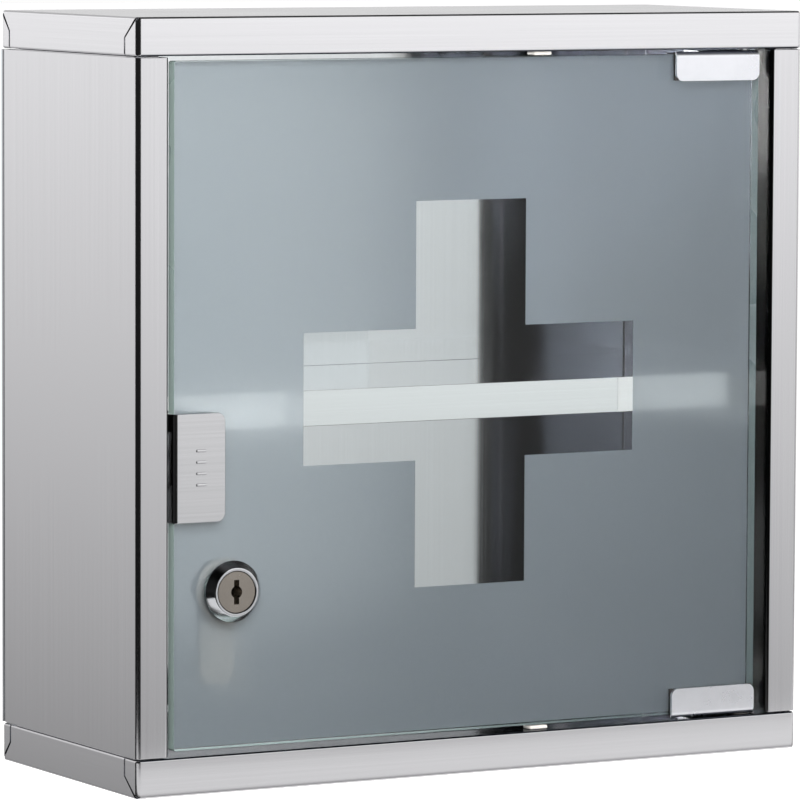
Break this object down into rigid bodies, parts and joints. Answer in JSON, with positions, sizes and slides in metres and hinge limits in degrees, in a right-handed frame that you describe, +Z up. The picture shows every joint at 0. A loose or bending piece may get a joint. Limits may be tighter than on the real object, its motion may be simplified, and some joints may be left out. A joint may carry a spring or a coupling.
{
  "type": "glass door medical cabinet",
  "caption": "Wall-hung brushed steel medicine cabinet with a shelf and an inset frosted glass door showing a clear cross, on pivot clamps with a push latch and a cam lock",
  "frame": {"origin": "middle of the flat back face, on the wall plane", "axes": "+Y points into the wall, -Y is the front with the glass door, +X is to the right seen from the front, +Z is up"},
  "size_m": [0.3, 0.1205, 0.3],
  "materials": {
    "brushed_steel": "satin brushed stainless steel",
    "polished_steel": "bright stainless steel",
    "chrome": "polished chrome plate",
    "nickel": "satin nickel plate",
    "clear_glass": "clear toughened glass",
    "frosting": "satin frosted film",
    "black_rubber": "matt black rubber",
    "black_nylon": "moulded black nylon",
    "grey_plastic": "moulded grey plastic",
    "clear_plastic": "soft clear plastic"
  },
  "bodies": {
    "cabinet": {"left_side_panel": "brushed_steel", "right_side_panel": "brushed_steel", "back_panel": "polished_steel", "top_cap": "brushed_steel", "bottom_cap": "brushed_steel", "shelf": "polished_steel", "shelf_support_left": "polished_steel", "shelf_support_right": "polished_steel", "hinge_bush_top": "black_nylon", "hinge_bush_bottom": "black_nylon", "hinge_washer": "black_nylon", "bumper_top": "clear_plastic", "bumper_bottom": "clear_plastic", "latch_bracket": "polished_steel", "latch_housing": "grey_plastic", "latch_screw_front": "nickel", "latch_screw_back": "nickel", "latch_spring": "nickel"},
    "door": {"door_glass": "clear_glass", "frosted_film": "frosting", "hinge_clamp_top": "chrome", "hinge_clamp_bottom": "chrome", "hinge_liner_top": "black_rubber", "hinge_liner_bottom": "black_rubber", "hinge_pin_top": "chrome", "hinge_pin_bottom": "chrome", "hinge_screw_top_left": "nickel", "hinge_screw_top_right": "nickel", "hinge_screw_bottom_left": "nickel", "hinge_screw_bottom_right": "nickel", "push_plate": "brushed_steel", "push_plate_liner_front": "black_rubber", "push_plate_liner_back": "black_rubber", "lock_body": "chrome", "lock_gasket": "black_rubber", "lock_washer": "nickel", "lock_nut": "nickel"},
    "lock_plug": {"lock_plug": "nickel", "lock_cam": "nickel", "cam_screw": "nickel"},
    "latch_plunger": {"latch_plunger": "grey_plastic", "latch_magnet": "nickel"}
  },
  "joints": [
    {"name": "door_hinge", "type": "hinge", "parent": "cabinet", "child": "door", "pos_m": [0.126, -0.1135, 0], "axis": [0, 0, 1], "range_deg": [0, 110]},
    {"name": "lock_turn", "type": "hinge", "parent": "door", "child": "lock_plug", "pos_m": [-0.107, -0.113, -0.072], "axis": [0, 1, 0], "range_deg": [0, 90]},
    {"name": "latch_push", "type": "slide", "parent": "cabinet", "child": "latch_plunger", "axis": [0, 1, 0], "range_m": [0, 0.0035], "stiffness_N_per_m": 300, "springref_m": -0.008, "deforming": ["latch_spring"]}
  ]
}
